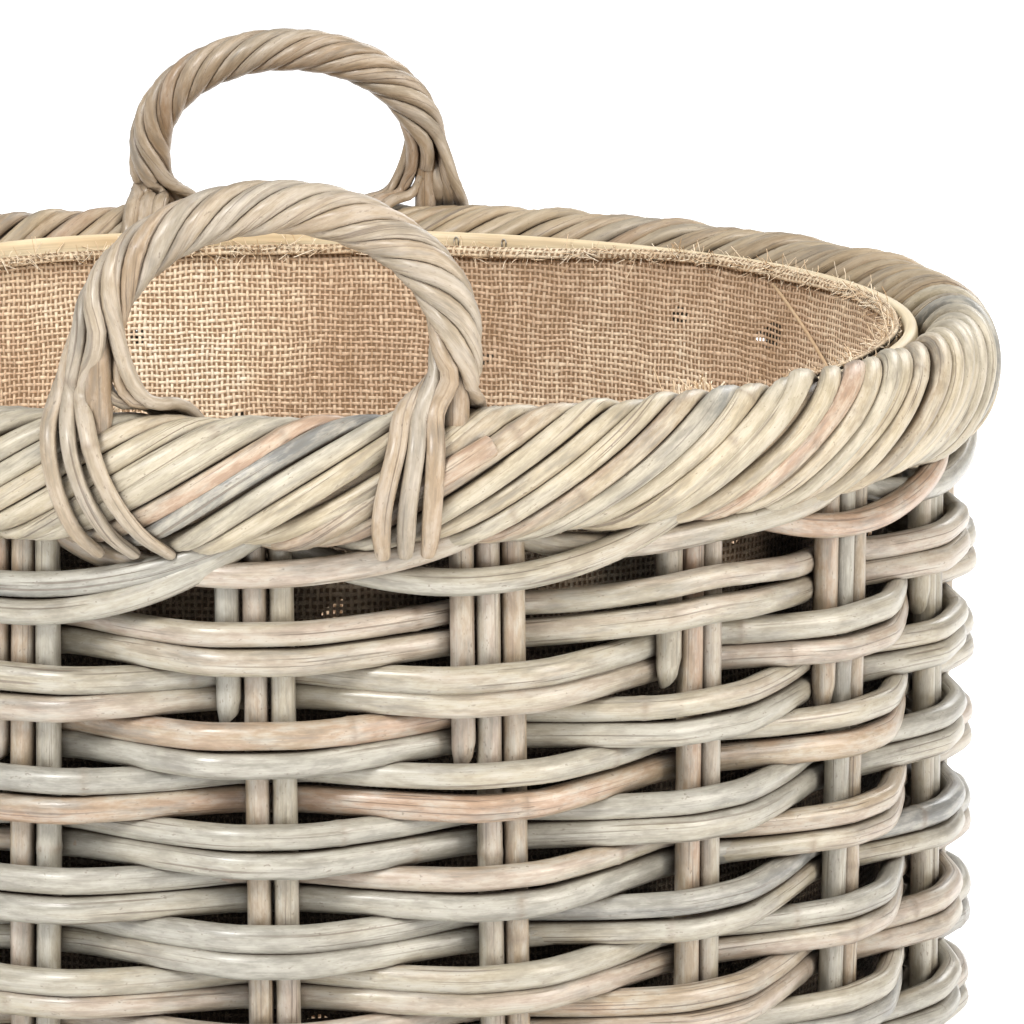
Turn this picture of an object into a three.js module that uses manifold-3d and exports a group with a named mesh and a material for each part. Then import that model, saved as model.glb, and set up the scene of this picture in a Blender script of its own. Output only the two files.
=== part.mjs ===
// A round rattan log basket: upright stakes in pairs, rows of paired canes woven round them, a rolled
// border, a foot border, a woven base on ribs, a hessian liner held by a hoop, and two roped handles.
// Millimetres, +Z up. The origin is the centre of the foot's underside, and the handles stand at -Y and +Y.

import * as THREE from 'three';
import { mergeVertices } from 'three/addons/utils/BufferGeometryUtils.js';
import Module from 'manifold-3d';

const wasm = await Module();
wasm.setup();

// Overall size
const RIM_TOP = 420;
const RIM_RADIUS = 280;
const FIT = 0.4; // clear gap left between neighbours that touch on the real basket
const ROUND = 48; // straight sides in each plain ring

// Rolled border and foot border
const BORDER_HEIGHT = 46;
const BORDER_THICKNESS = 32;
const BORDER_SIDES = 12;
const BORDER_RADIUS = RIM_RADIUS - BORDER_THICKNESS / 2;
const BORDER_MIDDLE = RIM_TOP - BORDER_HEIGHT / 2;
const BORDER_BOTTOM = RIM_TOP - BORDER_HEIGHT;
const FOOT_HEIGHT = 26;
const FOOT_THICKNESS = 34;
const FOOT_RADIUS = 255;
const FOOT_SUNK = 4; // how much of the foot's oval is flattened where it stands on the floor

// Upright stakes: an upright wall, with one group a little to the left of the front
const STAKE_GROUPS = 20;
const STAKE_TURN = THREE.MathUtils.degToRad(-0.9);
const CANE = 9.3;
const CANE_BITE = 0.35; // how far two touching canes flatten into each other, each side
const WALL_RADIUS = 258;
const WALL_BOTTOM = FOOT_HEIGHT + FIT;
const WALL_TOP = BORDER_BOTTOM - FIT;
const SHORT_CANE_LENGTH = 77;

// Base: ribs on the foot border, and a woven disc on the ribs
const RIB = 9;
const RIB_PLACES = [-118.5, -39.5, 39.5, 118.5];
const RIB_REACH = 259;
const BASE_BOTTOM = WALL_BOTTOM + RIB + FIT;
const BASE_THICKNESS = 8;
const BASE_RADIUS = 251.5;

// Wales: the canes that cross in front of every stake, one high just under the border and two high
// just above the foot
const WALE_HEIGHT = 8.5;
const FOOT_WALE_HEIGHT = 17.4;
const WALE_THICKNESS = 8;
const WALE_CLEARANCE = 0.9;
const WALE_BOTTOM = WALL_TOP - WALE_HEIGHT;
const WALE_RADIUS = WALL_RADIUS + CANE / 2 + WALE_CLEARANCE;

// Woven rows: each is a pair of canes one above the other, in front of every second stake group
const ROWS = 17;
const WEAVE_BOTTOM = BASE_BOTTOM + BASE_THICKNESS + FIT / 2;
const WEAVE_TOP = WALE_BOTTOM - 16.4;
const ROW_PITCH = (WEAVE_TOP - WEAVE_BOTTOM) / ROWS;
const ROW_THICKNESS = 8.5;
const ROW_OFFSET = CANE / 2 + 0.75 + ROW_THICKNESS / 2;
const WRAP_HALF = 12; // half the straight run of a row across a pair of stakes
const WRAP_SHORT_CANE = 20; // the same, on the side where the short third cane stands
const SHORT_CANE_ROWS = 3;

// Hoop and hessian liner
const HOOP_HEIGHT = 16;
const HOOP_INNER = 239.5;
const HOOP_OUTER = 247;
const HOOP_TOP = RIM_TOP - 9;
const LINER_THICKNESS = 1.6;
const LINER_TOP = RIM_TOP - 16;
const LINER_RADIUS = 238.4;
const LINER_BOTTOM = BASE_BOTTOM + BASE_THICKNESS + FIT;

// Handles: a bent cane bow set into the border, a sleeve of twisted strands, and a lashing at each foot
const BOW_HALF_WIDTH = 60.5;
const BOW_SPRING = RIM_TOP + 25; // where the straight legs turn into the arch
const BOW_RISE = 44;
const BOW_PLANE = -262;
const BOW_LEAN = 11; // how far the top of the arch leans in over the basket
const BOW_CANE = 9.5;
const BOW_SIDES = 8;
const BOW_STEPS = 22;
const BOW_SOCKET = 28;
const SLEEVE_OUTER = 18;
const SLEEVE_INNER = 11.2;
const SOCKET_CLEARANCE = 0.4;
const LASHING_THICKNESS = 8;
const LASHING_TOP_TURN = 40; // degrees round the border's oval, up from its outermost line
const LASHING_BOTTOM_TURN = -58;
const LASHING_STEPS = 9;
const LASHINGS = [
  { side: 'left', turn: -13.5, width: 24 },
  { side: 'right', turn: 9.6, width: 21 },
];

const CANE_TONES = ['#c9bda4', '#bfae8f', '#d2c8b2', '#b9ab95'];
const BORDER_TONE = '#cdbf9f';
const HANDLE_TONE = '#c4ab80';
const HOOP_TONE = '#e3cfa0';
const HESSIAN_TONE = '#b98d58';

const basket = new THREE.Group();

function rattan(tone) {
  return new THREE.MeshStandardMaterial({ color: tone, roughness: 0.62, metalness: 0 });
}

function cloth(tone) {
  return new THREE.MeshStandardMaterial({ color: tone, roughness: 0.95, metalness: 0 });
}

function addPart(name, geometry, material, parent = basket) {
  const part = new THREE.Mesh(geometry, material);
  part.name = name;
  parent.add(part);
  return part;
}

// A holder turned round the basket's axis: what is built at the front, towards -Y, goes to that angle.
function turnedBy(angle) {
  const holder = new THREE.Group();
  holder.rotation.z = angle;
  basket.add(holder);
  return holder;
}

function numbered(stem, index) {
  return `${stem}_${String(index + 1).padStart(2, '0')}`;
}

// Joining and cutting
function toSolid(geometry) {
  const bare = geometry.clone();
  bare.deleteAttribute('normal');
  bare.deleteAttribute('uv');
  const merged = mergeVertices(bare, 1e-4);
  const vertProperties = new Float32Array(merged.attributes.position.array);
  const triVerts = new Uint32Array(merged.index.array);
  return new wasm.Manifold(new wasm.Mesh({ numProp: 3, vertProperties, triVerts }));
}

function toGeometry(solid) {
  const mesh = solid.getMesh();
  const geometry = new THREE.BufferGeometry();
  geometry.setAttribute('position', new THREE.BufferAttribute(mesh.vertProperties, 3));
  geometry.setIndex(new THREE.BufferAttribute(mesh.triVerts, 1));
  return geometry;
}

// Outlines in a plane of (outward, up)
function ovalOutline(width, height, sides) {
  const oval = new THREE.EllipseCurve(0, 0, width / 2, height / 2);
  return oval.getPoints(sides).slice(0, sides);
}

function boxOutline(inner, outer, bottom, top) {
  return [
    new THREE.Vector2(inner, bottom),
    new THREE.Vector2(outer, bottom),
    new THREE.Vector2(outer, top),
    new THREE.Vector2(inner, top),
  ];
}

// A ring about the axis from a closed outline of (radius, height).
function plainRing(outline) {
  return new THREE.LatheGeometry([...outline, outline[0].clone()], ROUND).rotateX(Math.PI / 2);
}

// A ring through a closed list of stations, each an angle and a radius, with one outline all round.
function stationRing(stations, outline) {
  const positions = [];
  const indices = [];
  const sides = outline.length;
  stations.forEach(({ angle, radius }, index) => {
    const here = index * sides;
    const next = ((index + 1) % stations.length) * sides;
    outline.forEach((point, side) => {
      const reach = radius + point.x;
      const after = (side + 1) % sides;
      positions.push(reach * Math.sin(angle), -reach * Math.cos(angle), point.y);
      indices.push(here + side, next + after, here + after);
      indices.push(here + side, next + side, next + after);
    });
  });
  const geometry = new THREE.BufferGeometry();
  geometry.setAttribute('position', new THREE.Float32BufferAttribute(positions, 3));
  geometry.setIndex(indices);
  return geometry;
}

function groupAngle(group) {
  return STAKE_TURN + (group * 2 * Math.PI) / STAKE_GROUPS;
}

// Two canes side by side, as the outline that they fill together.
function canePairShape() {
  const reach = CANE / 2 - CANE_BITE;
  const meet = Math.acos(reach / (CANE / 2));
  const shape = new THREE.Shape();
  shape.absarc(-reach, 0, CANE / 2, meet, 2 * Math.PI - meet);
  shape.absarc(reach, 0, CANE / 2, Math.PI + meet, 3 * Math.PI - meet);
  return shape;
}

function roundShape(diameter, centre = 0) {
  const shape = new THREE.Shape();
  shape.absarc(centre, 0, diameter / 2, 0, 2 * Math.PI);
  return shape;
}

// Two full-length canes, and a short third one tucked in beside their tops on the left.
function stakeGeometry() {
  const length = WALL_TOP - WALL_BOTTOM - FIT;
  const pair = new THREE.ExtrudeGeometry(canePairShape(), {
    depth: length,
    bevelEnabled: false,
    curveSegments: 3,
  });
  const thirdPlace = -3 * (CANE / 2 - CANE_BITE);
  const third = new THREE.ExtrudeGeometry(roundShape(CANE, thirdPlace), {
    depth: SHORT_CANE_LENGTH,
    bevelEnabled: false,
    curveSegments: 4,
  });
  third.translate(0, 0, length - SHORT_CANE_LENGTH);
  return toGeometry(toSolid(pair).add(toSolid(third)));
}

function buildStakes() {
  const geometry = stakeGeometry();
  for (let group = 0; group < STAKE_GROUPS; group++) {
    const holder = turnedBy(groupAngle(group));
    const material = rattan(CANE_TONES[group % CANE_TONES.length]);
    const stakes = addPart(numbered('stake_pair', group), geometry, material, holder);
    stakes.position.set(0, -WALL_RADIUS, WALL_BOTTOM + FIT / 2);
  }
}

// One row passes in front of one stake group and behind the next, so rows above each other alternate.
function rowStations(row) {
  const atShortCanes = row >= ROWS - SHORT_CANE_ROWS;
  const before = atShortCanes ? WRAP_SHORT_CANE : WRAP_HALF;
  const stations = [];
  for (let group = 0; group < STAKE_GROUPS; group++) {
    const angle = groupAngle(group);
    const inFront = (row + group) % 2 === 0;
    const radius = WALL_RADIUS + (inFront ? ROW_OFFSET : -ROW_OFFSET);
    stations.push({ angle: angle - before / WALL_RADIUS, radius });
    stations.push({ angle: angle + WRAP_HALF / WALL_RADIUS, radius });
  }
  return stations;
}

function buildRows() {
  const half = (ROW_PITCH - FIT) / 2;
  for (let row = 0; row < ROWS; row++) {
    const middle = WEAVE_BOTTOM + (row + 0.5) * ROW_PITCH;
    const outline = boxOutline(-ROW_THICKNESS / 2, ROW_THICKNESS / 2, middle - half, middle + half);
    const material = rattan(CANE_TONES[(row * 3 + 1) % CANE_TONES.length]);
    addPart(numbered('weave_row', row), stationRing(rowStations(row), outline), material);
  }
}

function buildWale(name, bottom, height) {
  const outline = boxOutline(WALE_RADIUS, WALE_RADIUS + WALE_THICKNESS, bottom, bottom + height);
  addPart(name, plainRing(outline), rattan(CANE_TONES[2]));
}

// The rolled border, with four sockets down into it for the legs of the two bows.
function buildBorder() {
  const outline = ovalOutline(BORDER_THICKNESS, BORDER_HEIGHT, BORDER_SIDES);
  outline.forEach((point) => point.add(new THREE.Vector2(BORDER_RADIUS, BORDER_MIDDLE)));
  let border = toSolid(plainRing(outline));
  const radius = BOW_CANE / 2 + SOCKET_CLEARANCE;
  const depth = BOW_SOCKET + SOCKET_CLEARANCE;
  const drill = new THREE.CylinderGeometry(radius, radius, 2 * depth, BOW_SIDES * 2);
  drill.rotateX(Math.PI / 2);
  for (const x of [-BOW_HALF_WIDTH, BOW_HALF_WIDTH]) {
    for (const y of [-BOW_PLANE, BOW_PLANE]) {
      border = border.subtract(toSolid(drill.clone().translate(x, y, RIM_TOP)));
    }
  }
  addPart('rim_border', toGeometry(border), rattan(BORDER_TONE));
}

function buildFoot() {
  const outline = ovalOutline(FOOT_THICKNESS, FOOT_HEIGHT + FOOT_SUNK, BORDER_SIDES);
  const middle = FOOT_HEIGHT - (FOOT_HEIGHT + FOOT_SUNK) / 2;
  const standing = outline.map((point) => {
    return new THREE.Vector2(FOOT_RADIUS + point.x, Math.max(0, middle + point.y));
  });
  addPart('foot_border', plainRing(standing), rattan(BORDER_TONE));
}

function buildBase() {
  const disc = new THREE.CylinderGeometry(BASE_RADIUS, BASE_RADIUS, BASE_THICKNESS, ROUND);
  disc.rotateX(Math.PI / 2);
  const weave = addPart('base_weave', disc, rattan(CANE_TONES[1]));
  weave.position.z = BASE_BOTTOM + BASE_THICKNESS / 2;
  RIB_PLACES.forEach((place, index) => {
    const length = 2 * Math.sqrt(RIB_REACH ** 2 - place ** 2);
    const cane = new THREE.CylinderGeometry(RIB / 2, RIB / 2, length, BOW_SIDES);
    cane.rotateZ(Math.PI / 2);
    const rib = addPart(numbered('base_rib', index), cane, rattan(CANE_TONES[3]));
    rib.position.set(0, place, WALL_BOTTOM + RIB / 2);
  });
}

function buildHoop() {
  const outline = boxOutline(HOOP_INNER, HOOP_OUTER, HOOP_TOP - HOOP_HEIGHT, HOOP_TOP);
  addPart('liner_hoop', plainRing(outline), rattan(HOOP_TONE));
}

function buildLiner() {
  const profile = [
    new THREE.Vector2(0, LINER_BOTTOM),
    new THREE.Vector2(LINER_RADIUS, LINER_BOTTOM),
    new THREE.Vector2(LINER_RADIUS, LINER_TOP),
    new THREE.Vector2(LINER_RADIUS - LINER_THICKNESS, LINER_TOP),
    new THREE.Vector2(LINER_RADIUS - LINER_THICKNESS, LINER_BOTTOM + LINER_THICKNESS),
    new THREE.Vector2(0, LINER_BOTTOM + LINER_THICKNESS),
  ];
  const cup = new THREE.LatheGeometry(profile, ROUND).rotateX(Math.PI / 2);
  addPart('hessian_liner', cup, cloth(HESSIAN_TONE));
}

// The middle line of a handle: a straight leg, half an ellipse and a straight leg, leaning in above
// the border.
class HandleArch extends THREE.Curve {
  constructor(foot) {
    super();
    this.leg = BOW_SPRING - foot;
    this.arc = (Math.PI * (BOW_HALF_WIDTH + BOW_RISE)) / 2;
  }

  getPoint(share, target = new THREE.Vector3()) {
    const along = share * (2 * this.leg + this.arc);
    const turned = THREE.MathUtils.clamp((along - this.leg) / this.arc, 0, 1);
    const below = Math.max(0, this.leg - along, along - this.leg - this.arc);
    const x = -BOW_HALF_WIDTH * Math.cos(Math.PI * turned);
    const z = BOW_SPRING + BOW_RISE * Math.sin(Math.PI * turned) - below;
    const above = Math.max(0, z - RIM_TOP) / (BOW_SPRING + BOW_RISE - RIM_TOP);
    return target.set(x, BOW_PLANE + BOW_LEAN * above ** 2, z);
  }
}

function sweptAlong(shape, path) {
  return new THREE.ExtrudeGeometry(shape, {
    extrudePath: path,
    steps: BOW_STEPS,
    curveSegments: BOW_SIDES / 2,
  });
}

function sleeveShape() {
  const shape = roundShape(SLEEVE_OUTER);
  const bore = new THREE.Path();
  bore.absarc(0, 0, SLEEVE_INNER / 2, 0, 2 * Math.PI, true);
  shape.holes.push(bore);
  return shape;
}

// A band of strands that runs from the handle's foot down over the outside of the border.
function lashingGeometry(width) {
  const inner = [];
  const outer = [];
  for (let step = 0; step <= LASHING_STEPS; step++) {
    const share = step / LASHING_STEPS;
    const degrees = THREE.MathUtils.lerp(LASHING_TOP_TURN, LASHING_BOTTOM_TURN, share);
    const turn = THREE.MathUtils.degToRad(degrees);
    const point = new THREE.Vector2(
      (BORDER_THICKNESS / 2) * Math.cos(turn),
      (BORDER_HEIGHT / 2) * Math.sin(turn),
    );
    const normal = new THREE.Vector2(
      Math.cos(turn) / BORDER_THICKNESS,
      Math.sin(turn) / BORDER_HEIGHT,
    ).normalize();
    inner.push(point.clone().addScaledVector(normal, FIT));
    outer.push(point.clone().addScaledVector(normal, FIT + LASHING_THICKNESS));
  }
  const shape = new THREE.Shape([...inner, ...outer.reverse()]);
  const band = new THREE.ExtrudeGeometry(shape, { depth: width, bevelEnabled: false });
  band.translate(0, 0, -width / 2);
  return band.rotateX(Math.PI / 2).rotateZ(-Math.PI / 2);
}

function buildHandle(side, angle) {
  const holder = turnedBy(angle);
  const bow = sweptAlong(roundShape(BOW_CANE), new HandleArch(RIM_TOP - BOW_SOCKET));
  addPart(`handle_${side}_bow`, bow, rattan(CANE_TONES[1]), holder);
  const sleeve = sweptAlong(sleeveShape(), new HandleArch(RIM_TOP + FIT));
  addPart(`handle_${side}_roping`, sleeve, rattan(HANDLE_TONE), holder);
  for (const lashing of LASHINGS) {
    const place = turnedBy(angle + THREE.MathUtils.degToRad(lashing.turn));
    const name = `handle_${side}_lashing_${lashing.side}`;
    const band = addPart(name, lashingGeometry(lashing.width), rattan(HANDLE_TONE), place);
    band.position.set(0, -BORDER_RADIUS, BORDER_MIDDLE);
  }
}

buildFoot();
buildBase();
buildStakes();
buildRows();
buildWale('foot_wale', WALL_BOTTOM, FOOT_WALE_HEIGHT);
buildWale('border_wale', WALE_BOTTOM, WALE_HEIGHT);
buildBorder();
buildHoop();
buildLiner();
buildHandle('front', 0);
buildHandle('back', Math.PI);

export default basket;
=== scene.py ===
"""The looks of the round wicker log basket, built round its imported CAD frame. Metres, +Z up.

Every cane is a strand swept along its own path. Angles round the basket start at the front (-Y)
and grow towards +X; an angle round a border's oval starts outermost and grows upwards.
"""

import math

import bpy
import numpy as np
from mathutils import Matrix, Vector


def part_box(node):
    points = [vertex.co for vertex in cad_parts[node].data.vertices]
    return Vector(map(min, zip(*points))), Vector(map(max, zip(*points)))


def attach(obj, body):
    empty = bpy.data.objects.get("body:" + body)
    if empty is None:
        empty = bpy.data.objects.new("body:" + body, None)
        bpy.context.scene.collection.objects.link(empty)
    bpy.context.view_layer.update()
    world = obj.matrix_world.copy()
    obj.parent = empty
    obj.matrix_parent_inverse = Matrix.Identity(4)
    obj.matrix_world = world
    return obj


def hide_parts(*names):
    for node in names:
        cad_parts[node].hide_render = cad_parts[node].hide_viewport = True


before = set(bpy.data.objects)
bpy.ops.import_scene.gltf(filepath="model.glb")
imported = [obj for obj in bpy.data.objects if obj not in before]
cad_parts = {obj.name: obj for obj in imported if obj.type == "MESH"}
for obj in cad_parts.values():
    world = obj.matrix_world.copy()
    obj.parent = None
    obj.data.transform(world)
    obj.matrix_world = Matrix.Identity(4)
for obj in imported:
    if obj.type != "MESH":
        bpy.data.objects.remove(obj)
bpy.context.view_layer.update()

SEED = 421
MM = 0.001
TURN = 2 * math.pi
UP = np.array([0.0, 0.0, 1.0])

# Sizes shared with the CAD model
CANE = 9.3 * MM
BORDER_THICKNESS = 32 * MM
FOOT_SUNK = 4 * MM
FOOT_THICKNESS = 34 * MM
ROW_OFFSET = 9.65 * MM
WRAP_HALF = 12 * MM
WRAP_SHORT_CANE = 20 * MM
SHORT_CANE_LENGTH = 77 * MM
STAKE_TURN = math.radians(-0.9)
BOW_SPRING = 25 * MM
BOW_LEAN = 11 * MM
BOW_CANE = 9.5 * MM
SLEEVE = 18 * MM

# The weave's canes. Sizes whose names end in WIDE or THICK are half-sizes
ROW_CANE_WIDE = 4.85 * MM
ROW_CANE_THICK = 4.5 * MM
ROW_SPLIT = 5.0 * MM
ROW_DROOP = 0.6 * MM
ROW_OVERLAP = 0.12
BEND_SOFTNESS = 3.4 * MM
TOP_ROW_LIFT = 8 * MM
LIFTED_GROUPS = (2, 10, 16)
WALE_WIDE = 4.7 * MM
WALE_THICK = 4.2 * MM
# The groups with a second wale cane, and how many mm lower it lies
DOUBLED_GROUPS = (19, 6, 13)
SECOND_CANE_DROP = 9.4
FOOT_WALE_WIDE = 4.4 * MM
FOOT_WALE_THICK = 4.0 * MM
BASE_CANE_WIDE = 4.3 * MM
BASE_CANE_THICK = 2.5 * MM
BASE_CANE_GAP = 0.3 * MM
# Degrees from the stake group, mm out from the wale's line, mm down from the border's bottom
BORDER_WALE_WAY = (
    (-18, -10, -4), (-14.5, -7.5, 4), (-10, -3.5, 8.4), (-5, 0.4, 10.2), (0, 1.2, 9.8),
    (5, 1.6, 7.4), (9.5, 1.6, 3.6), (13, 0.6, -1), (16, -2.5, -6), (19, -6, -11),
)
# Degrees from the stake group, mm out from the wale's line, mm up from its middle
FOOT_WALE_WAY = (
    (-17, -11, 3), (-12, -5, 2.5), (-7, -0.5, 1), (0, 0, 0), (7, -0.5, -1), (12, -5, -2.5), (17, -11, -3),
)

# The two borders
BORDER_STRANDS = 120
BORDER_TURNS = 10
BORDER_WIDE = 4.1 * MM
BORDER_THICK = 3.4 * MM
# Strands that stand out by their colour: degrees round the basket where each is outermost, tint
MARKED_STRANDS = ((-5.8, 0.97), (-2.8, 0.02), (24.9, 0.92), (28.3, 0.2))
# A cut cane end that stands off the border: degrees round the basket and the oval, mm of lift
STUB_WAY = ((9.0, -8, 0.8), (11.0, 6, 3.2), (13.0, 20, 4.6), (15.0, 33, 5.0))
STUB_WIDE = 4.0 * MM
STUB_THICK = 3.7 * MM
CORE_SINK = 1.2 * MM
FOOT_STRANDS = 110
FOOT_TURNS = 11
FOOT_CLEARANCE = 0.7 * MM

# The handles
ROPE_STRANDS = 6
ROPE_TURNS = 2.25
ROPE_WIDE = 3.5 * MM
ROPE_THICK = 2.7 * MM
ROPE_PROUD = 0.4 * MM
ROPE_LEAVES_LEFT = 31 * MM
ROPE_LEAVES_RIGHT = 15 * MM
INSIDE_STRANDS = 3
# The rope strands' ways over the border at a handle's feet, by side and by outside or inside:
# degrees round the basket, degrees round the oval, mm of lift, mm between neighbouring strands
FOOT_PATHS = {
    ("left", "out"): (
        (-15.2, 76, 5.0, 4.4), (-14.8, 50, 4.2, 6.2), (-14.2, 20, 3.4, 7.4),
        (-13.2, -10, 3.2, 8.8), (-11.9, -40, 3.2, 10.6), (-10.5, -72, 3.2, 12.2),
    ),
    ("right", "out"): (
        (10.0, 60, 3.8, 5.4), (9.6, 32, 3.5, 6.2), (9.2, 8, 3.4, 7.2),
        (8.9, -18, 3.4, 8.0), (8.9, -42, 4.2, 8.0), (9.0, -60, 5.8, 7.4),
    ),
    ("left", "in"): (
        (-10.6, 84, 4.4, 5.6), (-8.6, 112, 3.4, 6.0), (-7.3, 145, 2.8, 6.6), (-6.8, 172, 1.8, 6.8),
    ),
    ("right", "in"): (
        (13.2, 84, 4.4, 5.6), (14.1, 114, 3.4, 6.0), (14.8, 146, 2.8, 6.6), (15.1, 172, 1.8, 6.8),
    ),
}

# A node spacing longer than the strand, for what is not cane
NO_NODES = 9.0

# The hoop and its staples
HOOP_THICK = 2.8 * MM
HOOP_CLEARANCE = 0.2 * MM
HOOP_LAP_START = math.radians(205)
HOOP_LAP = math.radians(14)
STAPLE_DEGREES = (162.3, 157.1, 118.0, 72.0, 28.0, 338.0, 294.0, 250.0, 212.0)
STAPLE_RISE = 4.2 * MM
STAPLE_WIRE = 0.32 * MM
# The left half of a staple's wire: mm aside, mm out from the hoop's face, mm up
STAPLE_HALF = ((-0.9, 2, -1.8), (-0.9, 0.2, -1.8), (-0.9, -0.4, -1), (-0.8, -0.4, 1.2))
STAPLE_CROWN = (0, -0.4, 2)

# The hessian
THREAD_PITCH = 2.66 * MM
LINER_THREADS = 660
LINER_COLUMNS = 480
LINER_ROWS = 90
LINER_CORNER = 14 * MM
LINER_INSET = 1.8 * MM
LINER_LIFT = 0.8 * MM
# Waves round the basket, waves up the side, size in mm
LINER_RIPPLES = ((5, 0.7, 0.7), (9, 1.3, 0.6), (14, 0.4, 0.5), (23, 2.2, 0.3), (31, 3.1, 0.25))
HEM_WIDE = 2.8 * MM
HEM_THICK = 1.5 * MM
HEM_GAP = 0.4 * MM
HEM_DROP = 0.8 * MM
HEM_SLOPE = 0.9
HEM_RISE = 6.6 * MM
RAISED_OUT = 2.4 * MM
RAISED_MIDDLE = math.radians(95)
RAISED_REACH = math.radians(65)
RAISED_RAMP = math.radians(32)
SEAM_START = math.radians(121)
SEAM_LEAN = math.radians(34)
SEAM_DROP = 90 * MM
SEAM_WIDE = 0.8 * MM
SEAM_THICK = 0.5 * MM
SEAM_INSET = 2.4 * MM
HEM_FIBRES = 2600
TUFT_DEGREES = (38.7, -13.6)
TUFT_FIBRES = 260

# The floor: grey under the basket and lit up to white round it
FLOOR_HALF = 30.0
FLOOR_GREY_TO = 0.4
FLOOR_WHITE_FROM = 0.9
FLOOR_GLOW = 0.7

# The camera, at the photograph's viewing angle
CAMERA_AZIMUTH = math.radians(0.53)
CAMERA_ELEVATION = math.radians(9.4)
CAMERA_DISTANCE = 1.985
CAMERA_PIVOT = Vector((0, 0, 0.4))
AIM_RIGHT = 0.0892
AIM_UP = -0.0675
LENS = 178.2
SENSOR = 36


def nodes_called(stem):
    return sorted(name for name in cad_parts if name.startswith(stem))


STAKE_NODES = nodes_called("stake_pair_")
ROW_NODES = nodes_called("weave_row_")
RIB_NODES = nodes_called("base_rib_")
GROUPS = len(STAKE_NODES)
GROUP_TURN = TURN / GROUPS
RIM_LOW, RIM_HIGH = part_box("rim_border")
RIM_TOP = RIM_HIGH.z
BORDER_BOTTOM = RIM_LOW.z
BORDER_RADIUS = RIM_HIGH.x - BORDER_THICKNESS / 2
BORDER_MIDDLE = (RIM_TOP + BORDER_BOTTOM) / 2
BORDER_HALF_UP = (RIM_TOP - BORDER_BOTTOM) / 2
LINER_LOW, LINER_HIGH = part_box("hessian_liner")
STAKE_LOW, STAKE_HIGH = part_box(STAKE_NODES[0])
WALL_RADIUS = -(STAKE_LOW.y + STAKE_HIGH.y) / 2


# ---- Paths ----
def group_angle(group):
    """Where a stake group stands; a fraction is a place between two groups."""
    return STAKE_TURN + group * GROUP_TURN


def ring_points(angle, radius, height):
    """Points at these angles round the basket."""
    angle, radius, height = np.broadcast_arrays(angle, radius, height)
    return np.column_stack([radius * np.sin(angle), -radius * np.cos(angle), height])


def outward(angle):
    """The ways that point away from the basket's axis."""
    angle = np.atleast_1d(angle)
    return np.column_stack([np.sin(angle), -np.cos(angle), np.zeros(len(angle))])


def unit(vectors):
    return vectors / np.maximum(np.linalg.norm(vectors, axis=-1, keepdims=True), 1e-12)


def distances(path):
    """How far along its path each point lies."""
    steps = np.linalg.norm(np.diff(path, axis=0), axis=1)
    return np.concatenate([[0], np.cumsum(steps)])


def sampled(along, table, places):
    """The rows of a table at other places along its path."""
    return np.column_stack([np.interp(places, along, column) for column in table.T])


def smooth_curve(keys, step=1.5 * MM):
    """A smooth curve through key rows, whose first three columns are the point."""
    keys = np.asarray(keys, float)
    at = distances(keys[:, :3])
    slopes = np.gradient(keys, at, axis=0)
    places = np.linspace(0, at[-1], max(4, int(at[-1] / step)))
    low = np.clip(np.searchsorted(at, places, side="right") - 1, 0, len(at) - 2)
    span = (at[low + 1] - at[low])[:, None]
    share = ((places - at[low])[:, None]) / span
    square = share * share
    cube = square * share
    return (
        (2 * cube - 3 * square + 1) * keys[low]
        + (cube - 2 * square + share) * span * slopes[low]
        + (3 * square - 2 * cube) * keys[low + 1]
        + (cube - square) * span * slopes[low + 1]
    )


def wander(rng, along, period, size):
    """A slow random drift along a strand, up to size either way, that turns about once a period."""
    place = (along - along[0]) / period
    heights = rng.uniform(-size, size, int(place[-1]) + 3)
    low = place.astype(int)
    share = place - low
    share = share * share * (3 - 2 * share)
    return heights[low] * (1 - share) + heights[low + 1] * share


# ---- Strands and meshes ----
class Bundle:
    """Collects strands and sheets into one mesh.

    Each point carries two vectors for the materials: grain, a place on the cane's own surface
    in metres, and tone, which is (the cane's seed, its tint, how near a node ring it is).
    """

    def __init__(self, name):
        self.name = name
        self.count = 0
        self.points = []
        self.grain = []
        self.tone = []
        self.quads = []
        self.triangles = []

    def add(self, points, grain, tone, quads, triangles=None):
        self.points.append(points)
        self.grain.append(grain)
        self.tone.append(tone)
        self.quads.append(quads + self.count)
        if triangles is not None:
            self.triangles.append(triangles + self.count)
        self.count += len(points)

    def mesh_object(self, material):
        faces = [np.concatenate(self.quads)]
        if self.triangles:
            faces.append(np.concatenate(self.triangles))
        mesh = bpy.data.meshes.new(self.name)
        mesh.vertices.add(self.count)
        mesh.vertices.foreach_set("co", np.concatenate(self.points).ravel())
        loops = np.concatenate([table.ravel() for table in faces])
        sizes = np.concatenate([np.full(len(table), table.shape[1]) for table in faces])
        mesh.loops.add(len(loops))
        mesh.loops.foreach_set("vertex_index", loops)
        mesh.polygons.add(len(sizes))
        mesh.polygons.foreach_set("loop_start", np.concatenate([[0], np.cumsum(sizes)[:-1]]))
        mesh.update(calc_edges=True)
        mesh.validate()
        for name, rows in (("grain", self.grain), ("tone", self.tone)):
            layer = mesh.attributes.new(name, "FLOAT_VECTOR", "POINT")
            layer.data.foreach_set("vector", np.concatenate(rows).astype(np.float32).ravel())
        mesh.shade_smooth()
        mesh.materials.append(material)
        piece = bpy.data.objects.new(self.name, mesh)
        bpy.context.scene.collection.objects.link(piece)
        return piece


def cross_section(sides, power):
    """A rounded section: power 2 is an ellipse, and more is squarer."""
    angle = np.arange(sides) * TURN / sides
    across = np.sign(np.cos(angle)) * np.abs(np.cos(angle)) ** (2 / power)
    outer = np.sign(np.sin(angle)) * np.abs(np.sin(angle)) ** (2 / power)
    return across, outer


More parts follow.
